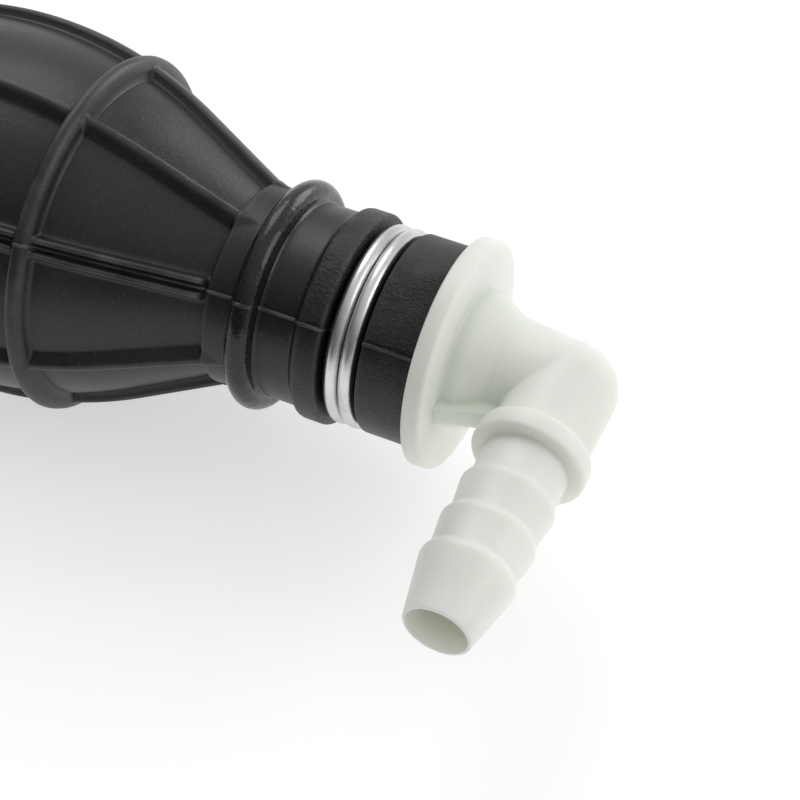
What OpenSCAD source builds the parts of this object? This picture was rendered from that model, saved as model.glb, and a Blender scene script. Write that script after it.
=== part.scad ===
// Hand-squeezed siphon bulb pump: a ribbed rubber bulb with a one-way valve in each end.
// X is the flow axis and liquid leaves towards +X.
// The origin is the centre of the bulb, +Z is up and the outlet barb points along -Y.

/* [Bulb] */
// Diameter of the bulb over its ribs
bulb_d = 45.8; // [44:0.1:49]
// Length of the rubber from one end face to the other
bulb_len = 116; // [114:0.5:124]
// Radius of the arc that rounds the belly lengthwise
belly_arc_r = 50; // [48:0.5:52]
// Slope of the straight shoulders, in degrees
shoulder_angle = 26.9; // [26:0.1:28]
// Distance from the centre to the end of the sunken panels
panel_end = 32.4; // [32:0.1:33]
// Height of the ribs over the panels
rib_h = 1.3; // [0.8:0.1:1.6]
// Width of each lengthwise rib
rib_w = 2.2; // [1.6:0.1:3]
// Number of lengthwise ribs
rib_count = 8; // [6, 8, 10]
// Distance from the centre to each ring rib
ring_rib_x = 13.6; // [12:0.1:15]
// Thickness of the rubber under the panels
wall_t = 2.9; // [2.4:0.1:3.2]
// Angle of the mould's parting line, from the outlet barb up towards +Z
parting_angle = 41; // [30:1:60]

/* [Rubber neck] */
// Diameter of the plain neck
neck_d = 23.4; // [23:0.1:24]
// Diameter of the end band outside the clamp groove
band_d = 23.7; // [23.4:0.1:24.4]
// Length of the end band
band_len = 6.4; // [5:0.1:7]
// Diameter of the lip inside the clamp groove
lip_d = 25.3; // [24.5:0.1:26]
// Length of the lip
lip_len = 3.0; // [2.4:0.1:3.4]
// Diameter of the bottom of the clamp groove
groove_d = 20; // [19.8:0.1:20.2]
// Length of the clamp groove
groove_len = 4.6; // [4.5:0.1:5]
// Diameter over the bead between neck and shoulder
bead_d = 27.7; // [27:0.1:28.5]
// Distance from the end face to the middle of the bead
bead_at = 20.65; // [20:0.05:21]

/* [Clamp wire] */
// Diameter of the wire of each clamp ring
wire_d = 1.75; // [1.6:0.05:1.8]

/* [Connectors] */
// Diameter of the flange that stops the rubber
flange_d = 27; // [26:0.1:30]
// Thickness of the flange
flange_t = 2.2; // [2:0.1:2.8]
// Diameter of the spigot inside the rubber neck
spigot_d = 16.4; // [16:0.1:16.6]
// Length of the spigot
spigot_len = 26; // [26:0.1:27]
// Diameter of the elbow's two arms
arm_d = 11.4; // [11:0.1:12]
// Distance from the end of the rubber to the axis of the outlet barb
arm_at = 14.2; // [14:0.1:16]
// Diameter of the flow bore
flow_d = 6.5; // [5.5:0.1:6.8]
// Diameter of the hose stop collar
collar_d = 13.4; // [13:0.1:15]
// Thickness of the hose stop collar
collar_t = 2.9; // [2.5:0.1:4]
// Distance from the elbow's centre to the face of the hose stop collar
collar_at = 11.6; // [11:0.1:14]
// Distance from the end of the rubber to the face of the inlet's hose stop collar
inlet_collar_at = 11.8; // [11:0.1:14]

/* [Hose barb] */
// Diameter over the barb crests
barb_d = 11; // [10.8:0.1:11.4]
// Diameter at the roots of the barbs
barb_root_d = 9.9; // [9.4:0.1:10.2]
// Spacing of the barb crests
barb_pitch = 5.2; // [4.6:0.1:6]
// Distance from the collar to the first crest
barb_first = 5; // [4:0.1:6]
// Length of barb from the collar to the tip
barb_len = 23.3; // [22:0.1:26]
// Outside diameter of the tip
barb_tip_d = 7.9; // [7.8:0.1:8.6]
// Diameter of the mouth at the tip
mouth_d = 7.1; // [6.9:0.1:7.3]

/* [Check valves] */
// Bore of the spigot that holds a valve
valve_bore_d = 13.2; // [13:0.1:13.4]
// Length of the valve stack
valve_len = 20; // [20:0.1:20.5]
// Travel of the poppet
valve_lift = 2; // [1:0.1:2]
// Diameter of the hole in the valve seat
seat_hole_d = 6.8; // [6:0.1:7]
// Number of arms in the poppet guide
guide_arms = 3; // [3, 4]

/* [Squeeze] */
// Length of each wall piece that stands for the flexing belly
grip_len = 40; // [36:1:42]
// Width of each of those wall pieces
grip_w = 19; // [16:1:20]
// Clearance around each of those wall pieces
grip_gap = 0.3; // [0.2:0.05:0.5]

/* [Hidden] */
$fn = 64;
eps = 0.01;

rubber = [0.13, 0.13, 0.13];
plastic = [0.88, 0.90, 0.86];
acetal = [0.93, 0.92, 0.86];
zinc = [0.78, 0.79, 0.80];
steel = [0.66, 0.67, 0.69];
nitrile = [0.06, 0.06, 0.06];

half_len = bulb_len / 2;
bore_slip = 0.05;
neck_bore_d = spigot_d + 2 * bore_slip;
cavity_inset = rib_h + wall_t;
cavity_end = shoulder_x(cavity_inset, neck_bore_d / 2) + 1;
rib_end = panel_end + 1.2;
groove_x = half_len - band_len - groove_len / 2;
lip_x = half_len - band_len - groove_len - lip_len;
bead_x = half_len - bead_at;
bead_r = 1.55;
ring_rib_r = 1.15;
ring_rib_proud = 0.75;
inner_face = half_len - spigot_len;
valve_floor = inner_face + 2 + valve_len;
barb_ramp = 0.9;
barb_land = 0.3;
barb_crests = 3;

// Measures of one valve stack, from the upstream face of its seat
seat_t = 3.2;
seal_wire_d = 1.6;
seal_ring_r = 4.6;
seal_gap = 0.02;
head_front = 3.5;
head_back = 6.1;
head_d = 11.8;
stem_d = 3;
stem_stop_d = 4.6;
guide_len = 5;
hub_front = valve_len - guide_len;
hub_d = 8;
hub_bore_d = 3.2;
stem_stop_end = hub_front - valve_lift - 0.1;
stem_end = valve_len - valve_lift - 0.4;
rim_inner_d = 11.2;
guide_arm_w = 1.6;
spring_wire_d = 0.7;
spring_ring_r = 3.4;
spring_turns = 5.5;
spring_dead_turns = 0.5;
spring_steps = 14;
spring_sides = 6;
spring_end_gap = 0.02;

// Radius and position at which the belly arc, set in by an inset, meets the straight shoulder
function arc_end_r(inset) = bulb_d / 2 - belly_arc_r + (belly_arc_r - inset) * cos(shoulder_angle);
function arc_end_x(inset) = (belly_arc_r - inset) * sin(shoulder_angle);
// Radius of the shoulder at a station, and the station of a radius
function shoulder_r(inset, x) = arc_end_r(inset) - (x - arc_end_x(inset)) * tan(shoulder_angle);
function shoulder_x(inset, r) = arc_end_x(inset) + (arc_end_r(inset) - r) / tan(shoulder_angle);
// Radius of the rib crests on the belly arc
function crest_r(x) = bulb_d / 2 - belly_arc_r + sqrt(pow(belly_arc_r, 2) - pow(x, 2));

// Turns a shape that is built along +Z so that it lies along +X
module along_x() {
    rotate([0, 90, 0]) children();
}

// Repeats a shape at both ends of the bulb
module both_ends() {
    children();
    mirror([1, 0, 0]) children();
}

// Turns local +Z about the flow axis to an angle measured from -Y up towards +Z
module at_angle(theta) {
    rotate([90 - theta, 0, 0]) children();
}

// Half outline of the belly, with radius along X and the flow axis along Y
module belly_outline(inset, x_end) {
    arc_x = arc_end_x(inset);
    arc_r = arc_end_r(inset);
    end_r = shoulder_r(inset, x_end);
    intersection() {
        translate([bulb_d / 2 - belly_arc_r, 0]) circle(r = belly_arc_r - inset);
        translate([0, -arc_x]) square([bulb_d, 2 * arc_x]);
    }
    polygon([[0, -x_end], [end_r, -x_end], [arc_r, -arc_x], [arc_r, arc_x], [end_r, x_end], [0, x_end]]);
}

// Outline of one rubber neck, from the shoulder to the end face
module neck_outline() {
    cone_r = shoulder_r(0, panel_end) - 0.4;
    polygon([
        [0, panel_end], [cone_r, panel_end], [neck_d / 2, bead_x],
        [neck_d / 2, lip_x - 0.5], [lip_d / 2, lip_x + 0.3], [lip_d / 2, lip_x + lip_len - 0.4],
        [lip_d / 2 - 0.4, lip_x + lip_len], [groove_d / 2, lip_x + lip_len],
        [groove_d / 2, half_len - band_len], [band_d / 2, half_len - band_len],
        [band_d / 2, half_len], [0, half_len]
    ]);
}

// One lengthwise rib, as a flat web that follows the crest line
module long_rib() {
    rotate([90, 0, 0]) linear_extrude(rib_w, center = true) rotate([0, 0, 90]) difference() {
        belly_outline(0, rib_end);
        translate([-1, -bulb_len / 2]) square([shoulder_r(cavity_inset, panel_end) + 1, bulb_len]);
    }
}

// The whole rubber moulding before the grip pieces are parted from it
module rubber_moulding() {
    difference() {
        union() {
            along_x() rotate_extrude() belly_outline(rib_h, rib_end);
            for (i = [0 : rib_count - 1])
                at_angle(parting_angle + i * 360 / rib_count) long_rib();
            both_ends() {
                along_x() rotate_extrude() neck_outline();
                along_x() rotate_extrude() translate([bead_d / 2 - bead_r, bead_x]) circle(r = bead_r);
                along_x() rotate_extrude()
                    translate([crest_r(ring_rib_x) + ring_rib_proud - ring_rib_r, ring_rib_x])
                        circle(r = ring_rib_r);
            }
        }
        along_x() rotate_extrude() belly_outline(cavity_inset, cavity_end);
        along_x() cylinder(h = bulb_len + 2, d = neck_bore_d, center = true);
    }
}

// Straight-sided column through one side of the belly
module grip_column(theta, grow) {
    end_r = grip_w / 2 + grow;
    straight = grip_len - grip_w;
    at_angle(theta) translate([0, 0, bulb_d / 5]) linear_extrude(bulb_d) {
        square([straight, 2 * end_r], center = true);
        for (side = [-1, 1]) translate([side * straight / 2, 0]) circle(r = end_r);
    }
}

module bulb() {
    color(rubber) difference() {
        rubber_moulding();
        grip_column(parting_angle + 90, grip_gap);
        grip_column(parting_angle - 90, grip_gap);
    }
}

module bulb_grip(theta) {
    color(rubber) intersection() {
        rubber_moulding();
        grip_column(theta, 0);
    }
}

// Tapered barbs along +Z from the collar face to the tip
module barb_outside() {
    root_r = barb_root_d / 2;
    crest_r = barb_d / 2;
    taper = barb_pitch - barb_ramp - barb_land;
    cylinder(h = barb_first, d = barb_root_d);
    for (i = [0 : barb_crests - 1]) translate([0, 0, barb_first + i * barb_pitch - barb_ramp]) {
        cylinder(h = barb_ramp, r1 = root_r, r2 = crest_r);
        translate([0, 0, barb_ramp]) cylinder(h = barb_land, r = crest_r);
        if (i < barb_crests - 1)
            translate([0, 0, barb_ramp + barb_land]) cylinder(h = taper, r1 = crest_r, r2 = root_r);
    }
    last = barb_first + (barb_crests - 1) * barb_pitch + barb_land;
    translate([0, 0, last]) cylinder(h = barb_len - last, r1 = crest_r, d2 = barb_tip_d);
}

// Collar that stops the hose, ending at the origin, and the barbs beyond it
module collar_and_barb() {
    edge = 0.6;
    translate([0, 0, -collar_t]) cylinder(h = edge, d1 = collar_d - 2 * edge, d2 = collar_d);
    translate([0, 0, edge - collar_t]) cylinder(h = collar_t - 2 * edge, d = collar_d);
    translate([0, 0, -edge]) cylinder(h = edge, d1 = collar_d, d2 = collar_d - 2 * edge);
    barb_outside();
}

// Half outline of spigot, flange, domed stub and the arm's slight taper up to end_x
module connector_outline(end_x) {
    lead = 0.8;
    edge = 0.4;
    foot_r = 8.5;
    dome_r = 8.1;
    dome_x = flange_t + 0.4;
    brow_r = 7.85;
    brow_x = dome_x + 2;
    slope_end_r = arm_d / 2 + 0.63;
    slope_end_x = brow_x + 2.3;
    draft = 0.1;
    end_r = slope_end_r - draft * (end_x - slope_end_x);
    polygon([
        [0, -spigot_len], [spigot_d / 2 - lead, -spigot_len], [spigot_d / 2, lead - spigot_len],
        [spigot_d / 2, 0], [flange_d / 2, 0], [flange_d / 2, flange_t - edge],
        [flange_d / 2 - edge, flange_t], [foot_r, flange_t], [dome_r, dome_x], [brow_r, brow_x],
        [slope_end_r, slope_end_x], [end_r, end_x], [0, end_x]
    ]);
}

// Valve chamber and flow bore of a connector, cut along the flow axis
module connector_bore(length) {
    along_x() {
        translate([0, 0, -spigot_len - 1]) cylinder(h = valve_len + 3, d = valve_bore_d);
        translate([0, 0, -spigot_len]) cylinder(h = spigot_len + length, d = flow_d);
    }
}

// Widening at the tip of a barb, cut along +Z from the collar face
module tip_mouth() {
    start_d = flow_d - 0.1;
    mouth_len = 2.5;
    spare = 1;
    end_d = mouth_d + spare * (mouth_d - start_d) / mouth_len;
    translate([0, 0, barb_len - mouth_len]) cylinder(h = mouth_len + spare, d1 = start_d, d2 = end_d);
}

// Flat web that braces the elbow between flange and barb arm
module elbow_web() {
    web_t = 2.7;
    flange_reach = 9.7;
    arm_reach = 7.4;
    root_x = flange_t - 0.5;
    arm_x = arm_at - arm_d / 2 + 1;
    linear_extrude(web_t, center = true)
        polygon([[root_x, 0], [root_x, -flange_reach], [arm_x, -arm_reach], [arm_x, 0]]);
}

module outlet_elbow() {
    color(plastic) translate([half_len, 0, 0]) difference() {
        union() {
            along_x() rotate_extrude() connector_outline(arm_at);
            along_x() cylinder(h = arm_at, d = arm_d);
            elbow_web();
            translate([arm_at, 0, 0]) {
                sphere(d = arm_d);
                rotate([90, 0, 0]) {
                    cylinder(h = collar_at, d = arm_d);
                    translate([0, 0, collar_at]) collar_and_barb();
                }
            }
        }
        connector_bore(arm_at);
        translate([arm_at, 0, 0]) {
            sphere(d = flow_d);
            rotate([90, 0, 0]) {
                cylinder(h = collar_at + barb_len + 1, d = flow_d);
                translate([0, 0, collar_at]) tip_mouth();
            }
        }
    }
}

module inlet_connector() {
    color(plastic) mirror([1, 0, 0]) translate([half_len, 0, 0]) difference() {
        union() {
            along_x() rotate_extrude() connector_outline(inlet_collar_at - 1);
            translate([inlet_collar_at, 0, 0]) along_x() collar_and_barb();
        }
        connector_bore(inlet_collar_at + barb_len + 1);
        translate([inlet_collar_at, 0, 0]) along_x() tip_mouth();
    }
}

// Wire wound twice round the neck, with a jog from one turn to the other
module clamp_ring(x) {
    ring_r = groove_d / 2 + 0.15 + wire_d / 2;
    step = wire_d / 2 + 0.03;
    jog = 16;
    tail = 7;
    jog_at = 230;
    corner_d = wire_d + 0.04;
    chord = 2 * ring_r * sin(jog / 2);
    color(zinc) translate([x, 0, 0]) at_angle(jog_at) along_x() {
        for (side = [-1, 1])
            translate([0, 0, side * step]) rotate([0, 0, 180 + jog / 2 + (side < 0 ? tail : 0)])
                rotate_extrude(angle = 360 - jog - tail, $fn = 96)
                    translate([ring_r, 0]) circle(d = wire_d);
        for (side = [-1, 1])
            rotate([0, 0, 180 + side * jog / 2]) translate([ring_r, 0, side * step])
                sphere(d = corner_d);
        translate([-ring_r * cos(jog / 2), 0, 0]) rotate([atan2(chord, 2 * step), 0, 0])
            cylinder(h = norm([chord, 2 * step]), d = wire_d, center = true);
    }
}

module valve_seat() {
    color(plastic) along_x() difference() {
        cylinder(h = seat_t, d = valve_bore_d);
        translate([0, 0, -1]) cylinder(h = seat_t + 2, d = seat_hole_d);
        translate([0, 0, -eps]) cylinder(h = 1.2, d1 = seat_hole_d + 2.4, d2 = seat_hole_d);
    }
}

module valve_poppet() {
    groove_w = seal_wire_d + 0.1;
    groove_depth = seat_t + seal_wire_d + 2 * seal_gap - head_front;
    color(acetal) along_x() {
        difference() {
            translate([0, 0, head_front]) cylinder(h = head_back - head_front, d = head_d);
            translate([0, 0, head_front]) rotate_extrude()
                translate([seal_ring_r - groove_w / 2, -eps]) square([groove_w, groove_depth + eps]);
        }
        translate([0, 0, head_back]) cylinder(h = stem_stop_end - head_back, d = stem_stop_d);
        translate([0, 0, stem_stop_end]) cylinder(h = stem_end - stem_stop_end, d = stem_d);
    }
}

module valve_seal() {
    color(nitrile) along_x() translate([0, 0, seat_t + seal_gap + seal_wire_d / 2])
        rotate_extrude() translate([seal_ring_r, 0]) circle(d = seal_wire_d);
}

module valve_guide() {
    color(plastic) along_x() translate([0, 0, hub_front]) {
        difference() {
            cylinder(h = guide_len, d = valve_bore_d);
            translate([0, 0, -1]) cylinder(h = guide_len + 2, d = rim_inner_d);
        }
        difference() {
            union() {
                cylinder(h = guide_len, d = hub_d);
                for (i = [0 : guide_arms - 1]) rotate([0, 0, i * 360 / guide_arms])
                    translate([0, -guide_arm_w / 2, 1])
                        cube([(rim_inner_d + valve_bore_d) / 4, guide_arm_w, guide_len - 1]);
            }
            translate([0, 0, -1]) cylinder(h = guide_len + 2, d = hub_bore_d);
        }
    }
}

// Height of the coil's centre line after a number of turns, level over the end turns
function coil_rise(turn, height) =
    height * min(1, max(0, (turn - spring_dead_turns) / (spring_turns - 2 * spring_dead_turns)));

// Coil spring between the poppet head and the guide hub, swept round a six-sided wire
module valve_spring() {
    start = head_back + spring_end_gap + spring_wire_d / 2;
    height = hub_front - spring_end_gap - spring_wire_d / 2 - start;
    rings = floor(spring_turns * spring_steps);
    points = [
        for (i = [0 : rings], k = [0 : spring_sides - 1])
            let (
                turn = i / spring_steps,
                around = 360 * turn,
                side = 360 * k / spring_sides,
                r = spring_ring_r + spring_wire_d / 2 * cos(side)
            )
            [r * cos(around), r * sin(around),
                start + coil_rise(turn, height) + spring_wire_d / 2 * sin(side)]
    ];
    skin = [
        for (i = [0 : rings - 1], k = [0 : spring_sides - 1])
            let (
                a = i * spring_sides + k,
                b = i * spring_sides + (k + 1) % spring_sides
            )
            [a, b, b + spring_sides, a + spring_sides]
    ];
    near_end = [for (k = [spring_sides - 1 : -1 : 0]) k];
    far_end = [for (k = [0 : spring_sides - 1]) rings * spring_sides + k];
    color(steel) along_x() polyhedron(points, concat(skin, [near_end, far_end]), convexity = 8);
}

// Places one piece of a valve stack in the inlet or the outlet spigot
module in_inlet() {
    translate([-valve_floor, 0, 0]) children();
}

module in_outlet() {
    translate([valve_floor - valve_len, 0, 0]) children();
}

bulb();
bulb_grip(parting_angle + 90);  // bulb_grip_upper
bulb_grip(parting_angle - 90);  // bulb_grip_lower
inlet_connector();
clamp_ring(-groove_x);  // inlet_clamp_ring
outlet_elbow();
clamp_ring(groove_x);  // outlet_clamp_ring
in_inlet() valve_seat();  // inlet_valve_seat
in_inlet() valve_poppet();  // inlet_valve_poppet
in_inlet() valve_seal();  // inlet_valve_seal
in_inlet() valve_spring();  // inlet_valve_spring
in_inlet() valve_guide();  // inlet_valve_guide
in_outlet() valve_seat();  // outlet_valve_seat
in_outlet() valve_poppet();  // outlet_valve_poppet
in_outlet() valve_seal();  // outlet_valve_seal
in_outlet() valve_spring();  // outlet_valve_spring
in_outlet() valve_guide();  // outlet_valve_guide
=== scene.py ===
"""Looks for the siphon bulb pump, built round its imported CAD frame.

X is the flow axis and the outlet is at +X. Lengths are in millimetres, unless a comment says
metres, and add_mesh() makes them metres.
"""

import math

import bmesh
import bpy
from mathutils import Matrix, Vector, noise
from mathutils.geometry import tessellate_polygon


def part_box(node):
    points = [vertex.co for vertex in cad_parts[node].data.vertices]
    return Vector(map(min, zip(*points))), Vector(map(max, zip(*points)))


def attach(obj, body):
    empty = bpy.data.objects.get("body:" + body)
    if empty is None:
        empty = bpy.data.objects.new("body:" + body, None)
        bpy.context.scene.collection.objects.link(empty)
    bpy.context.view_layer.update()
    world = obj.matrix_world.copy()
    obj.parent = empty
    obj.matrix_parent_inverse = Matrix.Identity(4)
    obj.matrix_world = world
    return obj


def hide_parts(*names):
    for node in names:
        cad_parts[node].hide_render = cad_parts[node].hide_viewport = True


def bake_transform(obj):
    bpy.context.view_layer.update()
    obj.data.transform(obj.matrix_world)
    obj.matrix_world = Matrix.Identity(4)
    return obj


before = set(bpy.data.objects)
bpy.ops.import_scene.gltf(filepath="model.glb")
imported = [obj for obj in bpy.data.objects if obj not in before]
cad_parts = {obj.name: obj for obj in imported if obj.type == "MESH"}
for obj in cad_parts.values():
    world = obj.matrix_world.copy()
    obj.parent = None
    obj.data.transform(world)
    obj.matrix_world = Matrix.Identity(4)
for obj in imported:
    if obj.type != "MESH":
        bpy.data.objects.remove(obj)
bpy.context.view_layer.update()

MM = 0.001


def box_mm(node):
    """Lowest and highest corner of a CAD node, in millimetres."""
    low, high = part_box(node)
    return low / MM, high / MM


# ---------------------------------------------------------------- sizes

# Bulb: radius over the ribs, the arc and the straight shoulder that shape it lengthwise
HALF_LEN = box_mm("bulb")[1].x
BELLY_R = 22.9
BELLY_ARC = 50.0
SHOULDER = math.radians(26.9)
RIB_H = 1.3
WALL_T = 2.9
PANEL_END = 32.4
RING_X = 13.6
RING_PROUD = 0.75
RING_HALF_W = 1.15
PARTING = math.radians(41.0)
SPIGOT_BORE_R = 8.25

# Rubber neck, measured from the end face
BAND_LEN = 6.4
BAND_R = 11.85
GROOVE_LEN = 4.6
GROOVE_R = 10.0
LIP_LEN = 3.0
LIP_R = 12.65
NECK_R = 11.7
BEAD_X = HALF_LEN - 20.65
BEAD_R = 1.55
BEAD_CREST = 13.85
BEAD_FOOT = 1.75
LIP_ROUND = 0.5
BAND_ROUND = 0.3
CORNER_ROUND = 0.2
GROOVE_X = HALF_LEN - BAND_LEN - GROOVE_LEN / 2
LIP_X = HALF_LEN - BAND_LEN - GROOVE_LEN - LIP_LEN

# Clamp wire, two turns side by side
WIRE_R = 0.875
WIRE_RING_R = box_mm("outlet_clamp_ring")[1].z - WIRE_R
WIRE_STEP = 0.905
# Angles in degrees: the jog between the turns, its length, and the gap it leaves before each wire end
WIRE_JOG_AT = 230.0
WIRE_JOG = 16.0
WIRE_TAIL = 7.0

# Connectors
FLANGE_R = 13.5
FLANGE_T = 2.2
FLANGE_EDGE = 0.45
STUB_R = 8.1
STUB_BROW_R = 1.9
SPIGOT_R = 8.2
SPIGOT_LEN = 26.0
SPIGOT_CHAMFER = 0.8
VALVE_BORE_R = 6.6
VALVE_BORE_LEN = 22.0
ARM_R = 5.7
ARM_DRAFT = 0.1
FLOW_R = 3.25
COLLAR_R = 6.7
COLLAR_ROUND = 0.7
COLLAR_T = 2.9
COLLAR_AT = 11.6
ELBOW_X = box_mm("outlet_elbow")[1].x - COLLAR_R
WEB_T = 2.7
WEB_FLANGE_REACH = 9.7
WEB_ARM_REACH = 7.4
INLET_COLLAR_AT = 11.8

# Hose barb, measured from the collar's face
BARB_CREST_R = 5.5
BARB_ROOT_R = 4.95
BARB_FIRST = 5.0
BARB_PITCH = 5.2
BARB_RAMP = 0.9
BARB_LAND = 0.3
BARB_CRESTS = 3
BARB_LEN = 23.3
BARB_TIP_R = 3.95
BARB_TIP_ROUND = 0.25
MOUTH_R = 3.55
MOUTH_LEN = 2.5

# Valve springs
COIL_R = 3.4
COIL_WIRE_R = 0.35
COIL_TURNS = 5.5
COIL_DEAD_TURNS = 0.5

ROOT = "bulb_body"


# ---------------------------------------------------------------- mesh helpers

# Edges that turn by more than these many degrees are shaded as sharp
CREASE = 50
ELBOW_CREASE = 35
# Segments round the connectors
FINE = 128


def add_mesh(name, points, faces):
    """A smooth-shaded mesh object from points in millimetres."""
    mesh = bpy.data.meshes.new(name)
    mesh.from_pydata([Vector(p) * MM for p in points], [], faces)
    mesh.update()
    for face in mesh.polygons:
        face.use_smooth = True
    piece = bpy.data.objects.new(name, mesh)
    bpy.context.scene.collection.objects.link(piece)
    return piece


def clean(piece, sharp_angle=None):
    """Points the normals outwards, and marks edges above an angle as sharp."""
    bm = bmesh.new()
    bm.from_mesh(piece.data)
    bmesh.ops.recalc_face_normals(bm, faces=bm.faces)
    if sharp_angle is not None:
        for edge in bm.edges:
            if len(edge.link_faces) == 2 and edge.calc_face_angle(0) > math.radians(sharp_angle):
                edge.smooth = False
    bm.to_mesh(piece.data)
    bm.free()
    return piece


def arc(x, r, radius, start, end, steps):
    """Points on an arc of an outline, angles in degrees from +X towards larger radius."""
    angles = [math.radians(start + (end - start) * i / steps) for i in range(steps + 1)]
    return [(x + radius * math.cos(a), r + radius * math.sin(a)) for a in angles]


def line(start, end, steps):
    """Points strictly between two outline points."""
    return [
        (start[0] + (end[0] - start[0]) * i / steps, start[1] + (end[1] - start[1]) * i / steps)
        for i in range(1, steps)
    ]


def turned_points(outline, segments):
    """The points of an outline turned round the X axis, one whole outline after another."""
    points = []
    for i in range(segments):
        angle = 2 * math.pi * i / segments
        points += [(x, r * math.cos(angle), r * math.sin(angle)) for x, r in outline]
    return points


def turned(name, outline, segments):
    """Turns a closed ring of (station, radius) points round the X axis."""
    n = len(outline)
    faces = []
    for i in range(segments):
        for k in range(n):
            a = i * n + k
            b = i * n + (k + 1) % n
            c = (i + 1) % segments * n + (k + 1) % n
            d = (i + 1) % segments * n + k
            faces.append((a, b, c, d))
    return clean(add_mesh(name, turned_points(outline, segments), faces), CREASE)


def turned_solid(name, outline, segments=96):
    """Turns an open outline round the X axis and closes both ends with a flat cap."""
    n = len(outline)
    faces = []
    for i in range(segments):
        for k in range(n - 1):
            j = (i + 1) % segments
            faces.append((i * n + k, i * n + k + 1, j * n + k + 1, j * n + k))
    faces.append([i * n for i in range(segments)])
    faces.append([i * n + n - 1 for i in range(segments)])
    return clean(add_mesh(name, turned_points(outline, segments), faces), CREASE)


def swept(name, path, radius, sides):
    """A round wire along a path of points, closed at both ends."""
    points = []
    count = len(path)
    for i, here in enumerate(path):
        ahead = path[min(i + 1, count - 1)] - path[max(i - 1, 0)]
        tangent = ahead.normalized()
        outward = Vector((0, here.y, here.z)).normalized()
        side = tangent.cross(outward).normalized()
        outward = side.cross(tangent)
        for k in range(sides):
            angle = 2 * math.pi * k / sides
            points.append(here + outward * radius * math.cos(angle) + side * radius * math.sin(angle))
    faces = []
    for i in range(count - 1):
        for k in range(sides):
            a = i * sides + k
            b = i * sides + (k + 1) % sides
            faces.append((a, b, b + sides, a + sides))
    faces.append(range(sides))
    faces.append(range((count - 1) * sides, count * sides))
    return clean(add_mesh(name, points, faces), CREASE)


def modified(piece, kind, **settings):
    """Adds one modifier to a piece and applies it."""
    modifier = piece.modifiers.new(kind.lower(), kind)
    for key, value in settings.items():
        setattr(modifier, key, value)
    bpy.context.view_layer.update()
    graph = bpy.context.evaluated_depsgraph_get()
    mesh = bpy.data.meshes.new_from_object(piece.evaluated_get(graph))
    piece.modifiers.clear()
    old = piece.data
    piece.data = mesh
    mesh.name = old.name
    bpy.data.meshes.remove(old)
    return piece


def combine(piece, other, operation):
    """Joins another solid to a piece, or cuts it away, and deletes the other."""
    modified(piece, "BOOLEAN", object=other, operation=operation, solver="EXACT")
    bpy.data.objects.remove(other)
    return piece


def smoothstep(low, high, x):
    """0 below low, 1 above high, smooth between."""
    t = min(1.0, max(0.0, (x - low) / (high - low)))
    return t * t * (3 - 2 * t)


def smooth_max(a, b, reach):
    """The larger of two values, with a small round fillet where they meet."""
    gap = max(0.0, reach - abs(a - b)) / reach
    return max(a, b) + gap * gap * reach / 4


# ---------------------------------------------------------------- bulb


def shell_radius(x, inset):
    """Radius at a station of the crest surface, set in by an inset."""
    station = abs(x)
    arc_r = BELLY_ARC - inset
    arc_x = arc_r * math.sin(SHOULDER)
    if station < arc_x:
        return BELLY_R - BELLY_ARC + math.sqrt(arc_r * arc_r - station * station)
    return BELLY_R - BELLY_ARC + arc_r * math.cos(SHOULDER) - (station - arc_x) * math.tan(SHOULDER)


# The neck cone starts a small step below the ribs' crests and narrows by this much per millimetre
CONE_R = shell_radius(PANEL_END, 0) - 0.4
CONE_SLOPE = 0.13

# Across each kind of rib: (offset in mm from the rib's line, share of the rib's height)
MIDDLE_RIB = [
    (-1.7, 0), (-1.3, 0.03), (-1.1, 0.2), (-0.98, 0.6), (-0.85, 0.86), (-0.6, 0.97), (-0.3, 1),
    (0, 1), (0.3, 1), (0.6, 0.97), (0.85, 0.86), (0.98, 0.6), (1.1, 0.2), (1.3, 0.03), (1.7, 0),
]
# The flank towards the parting line leans at about 45 degrees, so that the mould can draw
LEANING_RIB = [
    (-2.0, 0), (-1.65, 0.04), (-1.4, 0.16), (-1.05, 0.42), (-0.72, 0.68), (-0.45, 0.88), (-0.22, 0.98),
    (0, 1), (0.25, 0.99), (0.45, 0.9), (0.58, 0.6), (0.68, 0.2), (0.85, 0.03), (1.2, 0),
]
# Half of the double rib on the parting line, with the groove beside the flash
PARTING_RIB = [
    (0, 0.3), (0.1, 0.3), (0.19, 0.27), (0.26, 0.3), (0.35, 0.48), (0.46, 0.8), (0.6, 0.96), (0.78, 1),
    (0.96, 0.95), (1.1, 0.78), (1.22, 0.45), (1.36, 0.14), (1.55, 0.02), (1.9, 0),
]
# Steps across each panel between two ribs
PANEL_COLUMNS = 10
# The flash: half its width, its mean height, its waviness, and how much higher it is past the cone
FLASH_HALF_W = 0.15
FLASH_H = 0.27
FLASH_WAVE = 0.17
FLASH_ON_NECK = 0.1
# Thicker spots in the flash, at both edges of the clamp groove: stations, extra height and reach
FLASH_LUMPS = (LIP_X + LIP_LEN - 0.7, HALF_LEN - BAND_LEN + 0.7)
FLASH_LUMP_H = 0.22
FLASH_LUMP_REACH = 0.45
# Least height of a rib's tip, where it runs out over the neck cone
TIP_H = 0.4
# Round where a rib meets the ring rib
FILLET = 0.35
BULB_HALVES = ("bulb_half_upper", "bulb_half_lower")


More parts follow.
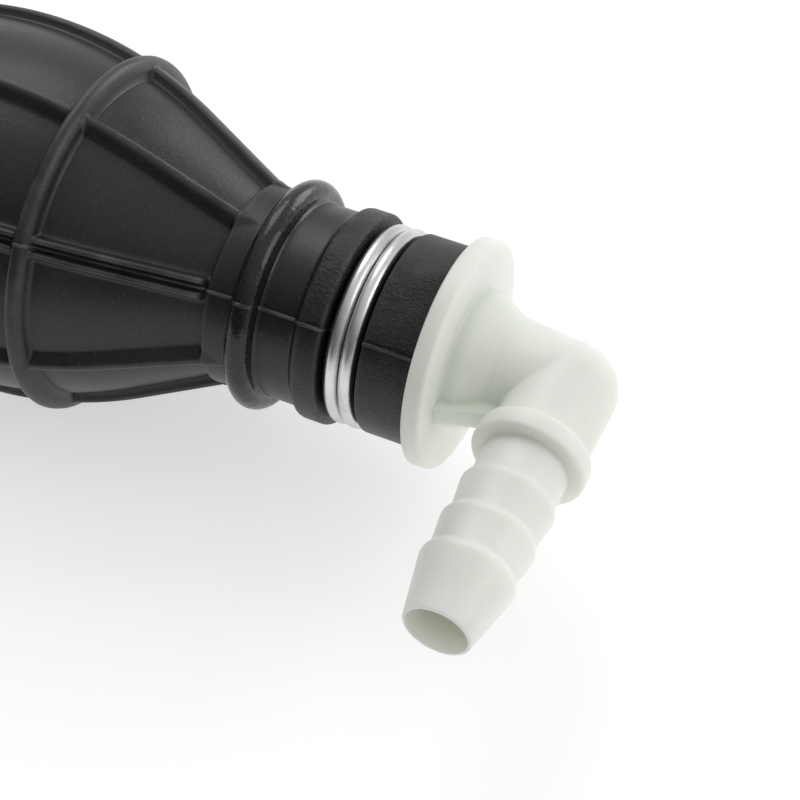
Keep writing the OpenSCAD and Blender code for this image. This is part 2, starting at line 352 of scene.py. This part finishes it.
def bulb_columns():
    """Columns from one parting line to the other: (rib angle in degrees, offset, rib share, kind)."""
    columns = [(0, offset, share, "parting") for offset, share in PARTING_RIB]
    columns.append("panel")
    columns += [(45, offset, share, "long") for offset, share in LEANING_RIB]
    columns.append("panel")
    columns += [(90, offset, share, "long") for offset, share in MIDDLE_RIB]
    columns.append("panel")
    columns += [(135, -offset, share, "long") for offset, share in reversed(LEANING_RIB)]
    columns.append("panel")
    columns += [(180, -offset, share, "parting") for offset, share in reversed(PARTING_RIB)]
    return columns


def belly_stations():
    """Stations from the bulb's middle to the neck cone, closer together where the surface turns."""
    ring = [RING_X + RING_HALF_W * t for t in (-1.7, -1.35, -1.15, -1, -0.9, -0.75, -0.5, -0.25, 0)]
    ring += [2 * RING_X - x for x in reversed(ring[:-1])]
    first = [(ring[0] - 1.0) * i / 12 for i in range(13)]
    last = [ring[-1] + 0.8 + (PANEL_END - 1.6 - ring[-1]) * i / 18 for i in range(19)]
    step = [PANEL_END + d for d in (-0.45, -0.25, -0.1, 0, 0.1, 0.25, 0.45, 0.8)]
    cone = [PANEL_END + d for d in (1.2, 1.6, 2.0, 2.4, 2.8)]
    return first + ring + last + step + cone


def base_radius(x):
    """Radius of the panels, and of the neck cone past them."""
    panel = shell_radius(x, RIB_H)
    cone = CONE_R - (x - PANEL_END) * CONE_SLOPE
    return panel + (cone - panel) * smoothstep(PANEL_END - 0.3, PANEL_END + 0.3, x)


def neck_outline():
    """The neck beyond the cone, from the bead to the end face, as (station, radius)."""
    wall = LIP_X + LIP_LEN
    band = HALF_LEN - BAND_LEN
    foot = CONE_R - (BEAD_X - BEAD_FOOT - PANEL_END) * CONE_SLOPE
    points = [(BEAD_X - BEAD_FOOT, foot), (BEAD_X - 1.6, foot + 0.08)]
    points += arc(BEAD_X, BEAD_CREST - BEAD_R, BEAD_R, 165, -12, 18)
    points += [(BEAD_X + 1.62, NECK_R + 0.08), (BEAD_X + 2.0, NECK_R)]
    points += line((BEAD_X + 2.0, NECK_R), (LIP_X - 0.9, NECK_R), 5)
    points += [(LIP_X - 0.9, NECK_R), (LIP_X - 0.55, NECK_R + 0.06), (LIP_X - 0.3, NECK_R + 0.3)]
    points += [(LIP_X - 0.08, LIP_R - 0.3), (LIP_X + 0.15, LIP_R - 0.08), (LIP_X + 0.5, LIP_R)]
    points += line((LIP_X + 0.5, LIP_R), (wall - 0.6, LIP_R), 4)
    points += arc(wall - LIP_ROUND, LIP_R - LIP_ROUND, LIP_ROUND, 90, 0, 5)
    points += [(wall, LIP_R - 1.1), (wall, GROOVE_R + 0.4)]
    points += arc(wall + CORNER_ROUND, GROOVE_R + CORNER_ROUND, CORNER_ROUND, 180, 270, 3)
    points += arc(band - CORNER_ROUND, GROOVE_R + CORNER_ROUND, CORNER_ROUND, 270, 360, 3)
    points += [(band, GROOVE_R + 0.6), (band, BAND_R - 0.4)]
    points += arc(band + BAND_ROUND, BAND_R - BAND_ROUND, BAND_ROUND, 180, 90, 4)
    points += line((band + BAND_ROUND, BAND_R), (HALF_LEN - BAND_ROUND, BAND_R), 8)
    points += arc(HALF_LEN - BAND_ROUND, BAND_R - BAND_ROUND, BAND_ROUND, 90, 0, 4)
    return points


def cavity_outline():
    """The inside of the bulb from the end face back to its middle, as (station, radius)."""
    inset = RIB_H + WALL_T
    arc_r = BELLY_ARC - inset
    arc_x = arc_r * math.sin(SHOULDER)
    arc_end_r = BELLY_R - BELLY_ARC + arc_r * math.cos(SHOULDER)
    mouth = arc_x + (arc_end_r - SPIGOT_BORE_R) / math.tan(SHOULDER)
    points = [(HALF_LEN, SPIGOT_BORE_R)]
    points += line((HALF_LEN, SPIGOT_BORE_R), (mouth, SPIGOT_BORE_R), 6)
    stations = [mouth * (1 - i / 20) for i in range(21)]
    return points + [(x, shell_radius(x, inset)) for x in stations]


def rib_shares(x):
    """For each kind of rib at a station: how much of its height shows, and of its width."""
    fade = 1 - smoothstep(PANEL_END - 0.2, PANEL_END + 2.7, x)
    return {
        "long": (fade, 0.25 + 0.75 * fade),
        "parting": (1 - smoothstep(PANEL_END - 0.7, PANEL_END + 0.1, x), 1),
    }


def flash_height(x, side):
    """Height of the thin flash on the parting line, which varies along it."""
    slow = noise.noise(Vector((x * 0.35, side * 7.3, 0.2)))
    wave = slow + 0.5 * noise.noise(Vector((x * 1.3, side, 4)))
    past_cone = smoothstep(PANEL_END + 1, PANEL_END + 4, abs(x))
    lumps = sum(math.exp(-((abs(x) - at) / FLASH_LUMP_REACH) ** 2) for at in FLASH_LUMPS)
    return FLASH_H + FLASH_WAVE * wave + FLASH_ON_NECK * past_cone + FLASH_LUMP_H * lumps


def row_points(x, base, ribs_on, side, columns):
    """One ring of points of a bulb half at a station, with its ribs, ring rib and flash."""
    shares = rib_shares(abs(x)) if ribs_on else {"long": (0, 1), "parting": (0, 1)}
    crest = shell_radius(x, 0)
    across = (abs(x) - RING_X) / RING_HALF_W
    ring = 0.0
    if ribs_on and abs(across) < 1:
        # A round hump with a slightly flattened crest
        ring = (1 - abs(across) ** 2.6) ** 0.55
    ring_r = base + ring * (RIB_H + RING_PROUD)
    angles = []
    radii = []
    pending = False
    for column in columns:
        if column == "panel":
            pending = True
            continue
        rib_angle, offset, share, kind = column
        presence, width = shares[kind]
        angle = math.radians(rib_angle) + offset * width / base
        radius = base + share * presence * max(TIP_H, crest - base)
        radius = smooth_max(radius, ring_r, FILLET) if ring > 0 else radius
        if kind == "parting" and abs(offset) < FLASH_HALF_W:
            radius += flash_height(x, side + rib_angle)
        if pending:
            start = angles[-1]
            for i in range(1, PANEL_COLUMNS):
                angles.append(start + (angle - start) * i / PANEL_COLUMNS)
                radii.append(smooth_max(base, ring_r, FILLET) if ring > 0 else base)
            pending = False
        angles.append(angle)
        radii.append(radius)
    return angles, radii


def bulb_half(name, start_angle, side):
    """One half of the bulb's moulding, from parting line to parting line, as a closed shell."""
    columns = bulb_columns()
    outside = [(x, base_radius(x), "ribbed") for x in belly_stations()]
    outside += [(x, r, "neck") for x, r in neck_outline()]
    inside = [(x, r, "inside") for x, r in cavity_outline()]
    half = outside + inside
    mirrored = [(-x, r, kind) for x, r, kind in reversed(half) if x > 1e-6]
    rows = half + mirrored
    points = []
    width = 0
    for x, base, kind in rows:
        angles, radii = row_points(x, base, kind == "ribbed", side, columns)
        if kind == "inside":
            radii = [base] * len(radii)
        width = len(angles)
        for angle, radius in zip(angles, radii):
            theta = start_angle + angle
            points.append((x, -radius * math.cos(theta), radius * math.sin(theta)))
    faces = []
    count = len(rows)
    for i in range(count):
        j = (i + 1) % count
        for k in range(width - 1):
            faces.append((i * width + k, i * width + k + 1, j * width + k + 1, j * width + k))
    seam = set()
    for k in (0, width - 1):
        rim = [i * width + k for i in range(count)]
        flat = [Vector((points[i][0], math.hypot(points[i][1], points[i][2]), 0)) for i in rim]
        faces += [[rim[corner] for corner in triangle] for triangle in tessellate_polygon([flat])]
        seam |= {frozenset((rim[i - 1], rim[i])) for i in range(count)}
    piece = clean(add_mesh(name, points, faces))
    for edge in piece.data.edges:
        edge.use_edge_sharp = frozenset(edge.vertices) in seam
    return piece


def build_bulb(material):
    """Both halves of the bulb."""
    for side, (name, body) in enumerate(zip(BULB_HALVES, ("grip_upper", "grip_lower"))):
        start = PARTING + math.pi * side
        piece = bulb_half(name, start, side)
        piece.data.materials.append(material)
        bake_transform(piece)
        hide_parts("bulb", "bulb_" + body)


# ---------------------------------------------------------------- connectors


def barb_outline(at):
    """Collar and hose barb from a collar face towards +X, as (station, radius)."""
    rim = COLLAR_R - COLLAR_ROUND
    points = arc(at - COLLAR_T + COLLAR_ROUND, rim, COLLAR_ROUND, 180, 90, 5)
    points += arc(at - COLLAR_ROUND, rim, COLLAR_ROUND, 90, 0, 5)
    points += [(at, BARB_ROOT_R + 0.25), (at + 0.07, BARB_ROOT_R + 0.1)]
    points += [(at + 0.25, BARB_ROOT_R + 0.05)]
    for i in range(BARB_CRESTS):
        crest = at + BARB_FIRST + i * BARB_PITCH
        foot = crest - BARB_RAMP
        land = crest + BARB_LAND
        points += [(foot - 0.25, BARB_ROOT_R), (foot + 0.1, BARB_ROOT_R + 0.06)]
        points += [(crest - 0.2, BARB_CREST_R - 0.1), (crest, BARB_CREST_R - 0.01)]
        points += [(land, BARB_CREST_R), (land + 0.3, BARB_CREST_R - 0.04)]
    tip = at + BARB_LEN
    points += line(points[-1], (tip - 0.3, BARB_TIP_R), 5)
    return points + arc(tip - BARB_TIP_ROUND, BARB_TIP_R - BARB_TIP_ROUND, BARB_TIP_ROUND, 80, 0, 4)


def root_outline():
    """Spigot, flange and the foot of the stub, as (station, radius) from the spigot's inner end."""
    chamfer_x = -SPIGOT_LEN + SPIGOT_CHAMFER
    points = [(-SPIGOT_LEN, SPIGOT_R - SPIGOT_CHAMFER), (chamfer_x, SPIGOT_R)]
    points += line((chamfer_x, SPIGOT_R), (0, SPIGOT_R), 6)
    points += [(0.0, SPIGOT_R), (0.0, FLANGE_R - 0.2), (0.2, FLANGE_R)]
    points += arc(FLANGE_T - FLANGE_EDGE, FLANGE_R - FLANGE_EDGE, FLANGE_EDGE, 90, 0, 6)
    points += [(FLANGE_T, STUB_R + 0.5), (FLANGE_T + 0.06, STUB_R + 0.3)]
    return points + [(FLANGE_T + 0.2, STUB_R + 0.12), (FLANGE_T + 0.4, STUB_R)]


def stub_outline(end_x):
    """The domed stub from its foot, and the tapered arm up to end_x, as (station, radius)."""
    seam = (FLANGE_T + 4.75, ARM_R + 0.63)
    points = arc(FLANGE_T + 1.1, STUB_R - STUB_BROW_R, STUB_BROW_R, 90, 56, 6)
    points += line(points[-1], seam, 3) + [seam]
    return points + [(end_x, seam[1] - ARM_DRAFT * (end_x - seam[0]))]


def bore_outline(length):
    """Mouth, flow bore and valve chamber, from the tip back to the inner end of the spigot."""
    floor = VALVE_BORE_LEN - SPIGOT_LEN
    throat = (length - MOUTH_LEN, FLOW_R)
    points = [(length - 0.1, MOUTH_R), throat] + line(throat, (floor, FLOW_R), 6)
    points += [(floor, FLOW_R), (floor, VALVE_BORE_R), (-SPIGOT_LEN, VALVE_BORE_R)]
    return points


def build_inlet(material):
    """The straight inlet connector."""
    tip = INLET_COLLAR_AT + BARB_LEN
    outline = root_outline() + stub_outline(INLET_COLLAR_AT - COLLAR_T - 0.1)
    outline += barb_outline(INLET_COLLAR_AT) + [(tip, MOUTH_R + 0.05)] + bore_outline(tip)
    piece = turned("inlet_connector_moulding", outline, FINE)
    to_end = Matrix.Translation((HALF_LEN * MM, 0, 0))
    piece.data.transform(Matrix.Rotation(math.pi, 4, "Z") @ to_end)
    piece.data.materials.append(material)
    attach(piece, ROOT)
    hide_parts("inlet_connector")


def web_solid():
    """The flat web that braces the elbow between flange and barb arm."""
    low_x = HALF_LEN + FLANGE_T - 0.5
    high_x = ELBOW_X - ARM_R + 1
    outline = [(low_x, 0), (low_x, -WEB_FLANGE_REACH), (high_x, -WEB_ARM_REACH), (high_x, 0)]
    points = [(x, y, z) for z in (-WEB_T / 2, WEB_T / 2) for x, y in outline]
    faces = [(3, 2, 1, 0), (4, 5, 6, 7)]
    faces += [(i, (i + 1) % 4, (i + 1) % 4 + 4, i + 4) for i in range(4)]
    return clean(add_mesh("web", points, faces))


def elbow_core(to_barb):
    """Stub, both arms and the web in one skin, with softened inner corners."""
    stub = [(-0.5, STUB_R - 0.1), (FLANGE_T, STUB_R)] + stub_outline(ELBOW_X - HALF_LEN)
    core = turned_solid("core", stub, FINE)
    core.data.transform(Matrix.Translation((HALF_LEN * MM, 0, 0)))
    dome = [(x, max(r, 0.02)) for x, r in arc(0, 0, ARM_R, 180, 90, 16)]
    arm = turned_solid("arm", dome + [(COLLAR_AT - 1, ARM_R)], FINE)
    arm.data.transform(to_barb)
    combine(core, arm, "UNION")
    combine(core, web_solid(), "UNION")
    modified(core, "REMESH", mode="VOXEL", voxel_size=0.2 * MM)
    return modified(core, "SMOOTH", factor=0.5, iterations=3)


def build_elbow(material):
    """The outlet elbow as one moulding."""
    to_root = Matrix.Translation((HALF_LEN * MM, 0, 0))
    to_barb = Matrix.Translation((ELBOW_X * MM, 0, 0)) @ Matrix.Rotation(-math.pi / 2, 4, "Z")
    piece = turned_solid("outlet_elbow_moulding", root_outline(), FINE)
    piece.data.transform(to_root)
    combine(piece, elbow_core(to_barb), "UNION")
    barb = turned_solid("barb", barb_outline(COLLAR_AT), FINE)
    barb.data.transform(to_barb)
    combine(piece, barb, "UNION")
    floor = VALVE_BORE_LEN - SPIGOT_LEN
    outline = [(-SPIGOT_LEN - 1, VALVE_BORE_R), (floor, VALVE_BORE_R)]
    outline += [(floor, FLOW_R), (ELBOW_X - HALF_LEN, FLOW_R)]
    chamber = turned_solid("chamber", outline)
    chamber.data.transform(to_root)
    combine(piece, chamber, "DIFFERENCE")
    inner_dome = [(x, max(r, 0.02)) for x, r in arc(0, 0, FLOW_R, 180, 90, 12)]
    tip = COLLAR_AT + BARB_LEN
    mouth = [(tip - MOUTH_LEN, FLOW_R), (tip, MOUTH_R), (tip + 1, MOUTH_R)]
    bore = turned_solid("bore", inner_dome + mouth)
    bore.data.transform(to_barb)
    combine(piece, bore, "DIFFERENCE")
    clean(piece, ELBOW_CREASE)
    for face in piece.data.polygons:
        face.use_smooth = True
    piece.data.materials.clear()
    piece.data.materials.append(material)
    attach(piece, "elbow")
    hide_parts("outlet_elbow")


# ---------------------------------------------------------------- clamp wires and springs


def wire_path(x):
    """Centre line of a clamp wire: two turns side by side, joined by a short jog."""
    start = WIRE_JOG_AT + WIRE_JOG / 2 + WIRE_TAIL
    total = 2 * 360 - 2 * WIRE_TAIL - WIRE_JOG
    steps = 288
    path = []
    for i in range(steps + 1):
        turned_by = total * i / steps
        across = smoothstep(-WIRE_JOG / 2, WIRE_JOG / 2, turned_by - total / 2)
        theta = math.radians(start + turned_by)
        station = x + WIRE_STEP * (2 * across - 1)
        y = -WIRE_RING_R * math.cos(theta)
        path.append(Vector((station, y, WIRE_RING_R * math.sin(theta))))
    return path


def build_clamps(material):
    """The double wire ring round each neck."""
    for node, x in (("inlet_clamp_ring", -GROOVE_X), ("outlet_clamp_ring", GROOVE_X)):
        piece = swept(node + "_wire", wire_path(x), WIRE_R, sides=20)
        piece.data.materials.append(material)
        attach(piece, ROOT)
        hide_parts(node)


def coil_path(low_x, high_x):
    """Centre line of a coil spring with level end turns."""
    steps = 200
    path = []
    for i in range(steps + 1):
        turn = COIL_TURNS * i / steps
        rise = (turn - COIL_DEAD_TURNS) / (COIL_TURNS - 2 * COIL_DEAD_TURNS)
        station = low_x + (high_x - low_x) * min(1.0, max(0.0, rise))
        angle = 2 * math.pi * turn
        path.append(Vector((station, COIL_R * math.cos(angle), COIL_R * math.sin(angle))))
    return path


def build_springs(material):
    """Each valve's coil spring."""
    for end, body in (("inlet", ROOT), ("outlet", "elbow")):
        node = end + "_valve_spring"
        low, high = box_mm(node)
        path = coil_path(low.x + COIL_WIRE_R, high.x - COIL_WIRE_R)
        piece = swept(node + "_coil", path, COIL_WIRE_R, sides=10)
        piece.data.materials.append(material)
        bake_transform(piece)
        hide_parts(node)


# ---------------------------------------------------------------- materials

RUBBER_DARK = (0.006, 0.006, 0.006, 1)
RUBBER_LIGHT = (0.011, 0.011, 0.0105, 1)
RUBBER_SPECK = (0.05, 0.05, 0.048, 1)
# Lighter grey for the rib crests: partly scuffing and dust, partly a painted highlight
RUBBER_CREST_SCUFF_AND_HIGHLIGHT = (0.09, 0.09, 0.085, 1)
PLASTIC_DARK = (0.77, 0.80, 0.73, 1)
PLASTIC_LIGHT = (0.83, 0.85, 0.785, 1)
ZINC_DARK = (0.6, 0.61, 0.615, 1)
ZINC_LIGHT = (0.74, 0.745, 0.74, 1)
STEEL_DARK = (0.5, 0.5, 0.51, 1)
STEEL_LIGHT = (0.66, 0.66, 0.67, 1)


class Shader:
    """A node material with short calls for the nodes that these finishes use."""

    def __init__(self, name):
        self.material = bpy.data.materials.new(name)
        self.material.use_nodes = True
        self.tree = self.material.node_tree
        self.surface = self.tree.nodes["Principled BSDF"]
        self.place = self.tree.nodes.new("ShaderNodeTexCoord").outputs["Object"]

    def node(self, kind, inputs=None, **settings):
        """Adds a node, sets its properties and fills or links its inputs."""
        made = self.tree.nodes.new("ShaderNode" + kind)
        for key, value in settings.items():
            setattr(made, key, value)
        for key, value in (inputs or {}).items():
            self.put(made.inputs[key], value)
        return made

    def put(self, socket, value):
        """Links a socket, or sets its default value."""
        if isinstance(value, bpy.types.NodeSocket):
            self.tree.links.new(value, socket)
        else:
            socket.default_value = value

    def math(self, operation, a, b=0.0):
        """One maths node's output."""
        return self.node("Math", {0: a, 1: b}, operation=operation).outputs[0]

    def times(self, a, b):
        """One value times another."""
        return self.math("MULTIPLY", a, b)

    def noise(self, scale, detail=3.0, place=None, roughness=0.5):
        """Noise at a scale in cycles per metre."""
        inputs = {"Vector": place or self.place, "Scale": scale}
        inputs |= {"Detail": detail, "Roughness": roughness}
        return self.node("TexNoise", inputs).outputs["Fac"]

    def span(self, value, low, high, to_low=0.0, to_high=1.0):
        """Maps a value from one span to another, clamped."""
        inputs = {"Value": value, "From Min": low, "From Max": high}
        inputs |= {"To Min": to_low, "To Max": to_high}
        return self.node("MapRange", inputs).outputs["Result"]

    def within(self, station, starts, full, full_until, ends):
        """1 between two stations in millimetres, with a short rise before and a short fall after."""
        rise = self.span(station, starts * MM, full * MM)
        return self.times(rise, self.span(station, ends * MM, full_until * MM))

    def mix(self, share, a, b):
        """Mixes two colours."""
        made = self.node("Mix", {0: share}, data_type="RGBA")
        self.put(made.inputs[6], a)
        self.put(made.inputs[7], b)
        return made.outputs[2]

    def bump(self, height, distance, strength=1.0, normal=None):
        """Bump from a height, with its depth in metres."""
        inputs = {"Height": height, "Distance": distance, "Strength": strength}
        if normal is not None:
            inputs["Normal"] = normal
        return self.node("Bump", inputs).outputs["Normal"]

    def finish(self, **inputs):
        """Fills the surface's inputs by name, with underscores for spaces."""
        for key, value in inputs.items():
            self.put(self.surface.inputs[key.replace("_", " ")], value)
        return self.material


def rubber_tone(s, cloud, fine, speckle, crest_scuff_and_highlight):
    """Near-black, a little lighter in clouds and specks, and lighter on the crests, partly as scuffing
    and dust and partly as a painted highlight.
    """
    tone = s.mix(s.span(cloud, 0.35, 0.65), RUBBER_DARK, RUBBER_LIGHT)
    tone = s.mix(s.times(s.span(fine, 0.62, 0.8), 0.6), tone, RUBBER_SPECK)
    tone = s.mix(s.times(speckle, 0.3), tone, RUBBER_SPECK)
    # The crests are lightened partly as wear and partly as a painted highlight
    return s.mix(s.times(crest_scuff_and_highlight, 0.8), tone, RUBBER_CREST_SCUFF_AND_HIGHLIGHT)


def rubber_grain(s, station, xyz):
    """How much the moulded grain shows: on the lip and the end band, mostly above the parting line."""
    on_lip = s.within(station, LIP_X - 0.5, LIP_X - 0.1, LIP_X + LIP_LEN, LIP_X + LIP_LEN + 0.2)
    on_band = s.span(station, (HALF_LEN - BAND_LEN - 0.3) * MM, (HALF_LEN - BAND_LEN) * MM)
    around = s.math("ARCTAN2", xyz[2], s.times(xyz[1], -1.0))
    above_parting = s.span(around, PARTING - 0.02, PARTING + 0.05, 0.25, 1.0)
    return s.times(s.math("MAXIMUM", on_lip, on_band), above_parting)


def rubber_material():
    """Satin black rubber, with a glossier bead, grained neck and rib crests lightened partly by
    scuffing and partly by a painted highlight.
    """
    s = Shader("moulded_rubber")
    xyz = s.node("SeparateXYZ", {0: s.place}).outputs
    station = s.math("ABSOLUTE", xyz[0])
    grained = rubber_grain(s, station, xyz)
    bead = s.within(station, BEAD_X - 2, BEAD_X - 1.4, BEAD_X + 1.5, BEAD_X + 2)
    cloud = s.noise(90.0)
    fine = s.noise(1500.0, 4.0)
    speckle = s.span(s.noise(5200.0, 2.0), 0.5, 0.72)
    # Pointiness picks out the crests; their lightening below is partly scuffing and partly a painted
    # highlight
    crests = s.span(s.node("NewGeometry").outputs["Pointiness"], 0.508, 0.57)
    crests = s.times(crests, s.math("SUBTRACT", 1.0, bead))
    crest_scuff_and_highlight = s.times(crests, s.span(s.noise(240.0, 4.0), 0.4, 0.62, 0.2, 1.0))

    rough = s.span(cloud, 0.3, 0.7, 0.32, 0.42)
    rough = s.math("ADD", rough, s.times(crest_scuff_and_highlight, 0.12))
    rough = s.math("SUBTRACT", rough, s.times(bead, 0.25))
    rough = s.math("ADD", rough, s.times(grained, 0.08))

    patches = s.span(s.noise(170.0, 2.0), 0.42, 0.6, 0.25, 1.0)
    grain = s.times(s.noise(2600.0, 3.0, roughness=0.65), s.times(grained, patches))
    skin = s.bump(s.noise(55.0, 1.0), 0.0006, 0.35)
    skin = s.bump(s.times(s.noise(350.0, 2.0), bead), 0.0004, 0.4, skin)
    skin = s.bump(fine, 0.00004, 0.7, skin)
    skin = s.bump(speckle, 0.000012, 0.6, skin)
    return s.finish(
        Base_Color=rubber_tone(s, cloud, fine, speckle, crest_scuff_and_highlight),
        Roughness=rough,
        Normal=s.bump(grain, 0.0005, 1.0, skin),
        Specular_IOR_Level=0.42,
    )


def connector_material():
    """Natural off-white plastic that lets a little light in."""
    s = Shader("off_white_plastic")
    tone = s.mix(s.span(s.noise(120.0), 0.3, 0.7), PLASTIC_DARK, PLASTIC_LIGHT)
    fine = s.noise(900.0)
    rough = s.span(fine, 0.3, 0.7, 0.36, 0.46)
    normal = s.bump(fine, 0.00003, 0.5, s.bump(s.noise(160.0, 1.0), 0.0003, 0.2))
    return s.finish(
        Base_Color=tone,
        Roughness=rough,
        Normal=normal,
        Subsurface_Weight=0.6,
        Subsurface_Radius=(1.0, 1.0, 0.8),
        Subsurface_Scale=0.003,
    )


def around_axis(s):
    """Sockets that follow a ring round the flow axis: station, radius and angle."""
    xyz = s.node("SeparateXYZ", {0: s.place}).outputs
    angle = s.math("ARCTAN2", xyz[2], xyz[1])
    squares = s.math("ADD", s.times(xyz[1], xyz[1]), s.times(xyz[2], xyz[2]))
    return xyz[0], s.math("SQRT", squares), angle


def zinc_material():
    """Bright zinc plate on drawn wire, with fine lines along the wire."""
    s = Shader("zinc_plate")
    station, reach, angle = around_axis(s)
    stretched = {0: station, 1: reach, 2: s.times(angle, 0.0004)}
    lines = s.noise(9000.0, 2.0, s.node("CombineXYZ", stretched).outputs[0])
    tone = s.mix(s.span(s.noise(300.0), 0.35, 0.7), ZINC_DARK, ZINC_LIGHT)
    rough = s.span(lines, 0.3, 0.7, 0.26, 0.4)
    normal = s.bump(lines, 0.00001, 0.5)
    return s.finish(Base_Color=tone, Metallic=1.0, Roughness=rough, Normal=normal)


def steel_material():
    """Drawn stainless spring wire."""
    s = Shader("spring_wire")
    lines = s.noise(5000.0, 2.0)
    rough = s.span(lines, 0.3, 0.7, 0.2, 0.35)
    return s.finish(Base_Color=s.mix(lines, STEEL_DARK, STEEL_LIGHT), Metallic=1.0, Roughness=rough)


def plain_plastic(name, dark, light, rough):
    """Smooth moulded plastic for the valve pieces, with a faint cloud and skin."""
    s = Shader(name)
    tone = s.mix(s.span(s.noise(260.0), 0.3, 0.7), dark, light)
    fine = s.noise(1800.0)
    edges = s.node("Bevel", {"Radius": 0.0001}).outputs[0]
    normal = s.bump(fine, 0.00001, 0.5, edges)
    sheen = s.span(fine, 0.3, 0.7, rough, rough + 0.1)
    return s.finish(Base_Color=tone, Roughness=sheen, Normal=normal)


def dress_valves():
    """Gives the CAD valve pieces, which keep their shapes, their finishes."""
    seat = plain_plastic("valve_plastic", (0.66, 0.69, 0.64, 1), (0.74, 0.76, 0.71, 1), 0.38)
    poppet = plain_plastic("poppet_acetal", (0.76, 0.74, 0.64, 1), (0.85, 0.83, 0.74, 1), 0.25)
    seal = plain_plastic("nitrile_seal", (0.012, 0.012, 0.012, 1), (0.022, 0.022, 0.022, 1), 0.4)
    for end in ("inlet", "outlet"):
        for part, material in (("seat", seat), ("guide", seat), ("poppet", poppet), ("seal", seal)):
            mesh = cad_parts[f"{end}_valve_{part}"].data
            mesh.materials.clear()
            mesh.materials.append(material)


# ---------------------------------------------------------------- stage

# The floor is lit from below as well, so that it is nearly white. Its half width is in metres
FLOOR_GLOW = 0.58
FLOOR_HALF = 1.5

# Square lights that face the object: (name, place, side) in metres, and power in watts
LIGHT_TARGET = (0.04, -0.01, 0)
LIGHTS = [
    ("key", (-0.25, 0.4, 0.6), 0.45, 1.55),
    ("side", (0.6, 0.1, 0.3), 0.35, 0.8),
    ("back", (0.4, 0.8, 0.25), 0.5, 2.6),
]

# The surround is brightest in this direction and darkest on the camera's side
BRIGHT_SIDE = (0.25, 0.72, 0.65)


def build_floor():
    """A flat, pale floor at the height of the object's lowest point."""
    low = min(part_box(node)[0][2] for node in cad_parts)
    half = FLOOR_HALF
    mesh = bpy.data.meshes.new("floor")
    corners = [(-half, -half, low), (half, -half, low), (half, half, low), (-half, half, low)]
    mesh.from_pydata(corners, [], [(0, 1, 2, 3)])
    floor = bpy.data.objects.new("floor", mesh)
    bpy.context.scene.collection.objects.link(floor)
    s = Shader("pale_floor")
    tone = s.mix(s.noise(8.0, 2.0), (0.54, 0.54, 0.54, 1), (0.56, 0.56, 0.56, 1))
    glow = {"Emission_Color": (1, 1, 1, 1), "Emission_Strength": FLOOR_GLOW}
    floor.data.materials.append(s.finish(Base_Color=tone, Roughness=0.9, **glow))


def add_light(name, place, size, power):
    """A square area light that faces the object."""
    data = bpy.data.lights.new(name, "AREA")
    data.size = size
    data.energy = power
    light = bpy.data.objects.new(name, data)
    light.location = place
    towards = Vector(LIGHT_TARGET) - Vector(place)
    light.rotation_euler = towards.to_track_quat("-Z", "Y").to_euler()
    bpy.context.scene.collection.objects.link(light)
    return light


def build_lights():
    """Large soft lights. The one behind falls on the rubber only, so that it can be strong."""
    lights = {name: add_light(name, place, size, power) for name, place, size, power in LIGHTS}
    rubber = bpy.data.collections.new("rubber")
    for half in BULB_HALVES:
        rubber.objects.link(bpy.data.objects[half])
    lights["back"].light_linking.receiver_collection = rubber


def build_surround():
    """A white tent that is open, and darker, on the camera's side."""
    world = bpy.data.worlds.new("surround")
    world.use_nodes = True
    tree = world.node_tree
    place = tree.nodes.new("ShaderNodeTexCoord").outputs["Generated"]
    facing = tree.nodes.new("ShaderNodeVectorMath")
    facing.operation = "DOT_PRODUCT"
    facing.inputs[1].default_value = BRIGHT_SIDE
    tree.links.new(place, facing.inputs[0])
    fade = tree.nodes.new("ShaderNodeMapRange")
    fade.interpolation_type = "SMOOTHSTEP"
    limits = {"From Min": -0.5, "From Max": 0.7, "To Min": 0.08, "To Max": 0.75}
    for key, value in limits.items():
        fade.inputs[key].default_value = value
    tree.links.new(facing.outputs["Value"], fade.inputs["Value"])
    background = tree.nodes["Background"]
    background.inputs["Color"].default_value = (1, 1, 1, 1)
    tree.links.new(fade.outputs["Result"], background.inputs["Strength"])
    bpy.context.scene.world = world


# The camera's place and its lens in millimetres, and the direction from the object back to it
CAMERA_PLACE = (126.1, -145.9, 189.0)
CAMERA_LENS = 99.0
CAMERA_AZIMUTH = math.radians(27.13)
CAMERA_ELEVATION = math.radians(50.82)
CAMERA_ROLL = math.radians(-2.46)


def build_camera():
    """A long lens looking down on the outlet, so that the bulb runs out of the frame on the left."""
    back = Vector((
        math.cos(CAMERA_ELEVATION) * math.sin(CAMERA_AZIMUTH),
        -math.cos(CAMERA_ELEVATION) * math.cos(CAMERA_AZIMUTH),
        math.sin(CAMERA_ELEVATION),
    ))
    level = Vector((math.cos(CAMERA_AZIMUTH), math.sin(CAMERA_AZIMUTH), 0))
    up = back.cross(level)
    right = level * math.cos(CAMERA_ROLL) + up * math.sin(CAMERA_ROLL)
    data = bpy.data.cameras.new("camera")
    data.lens = CAMERA_LENS
    data.clip_start = 0.01
    camera = bpy.data.objects.new("camera", data)
    turn = Matrix((right, back.cross(right), back)).transposed().to_4x4()
    camera.matrix_world = Matrix.Translation(Vector(CAMERA_PLACE) * MM) @ turn
    bpy.context.scene.collection.objects.link(camera)
    bpy.context.scene.camera = camera
    # Plain tones, without a film curve
    bpy.context.scene.view_settings.view_transform = "Standard"


# ---------------------------------------------------------------- build

build_bulb(rubber_material())
plastic = connector_material()
build_inlet(plastic)
build_elbow(plastic)
build_clamps(zinc_material())
build_springs(steel_material())
dress_valves()
build_floor()
build_lights()
build_surround()
build_camera()
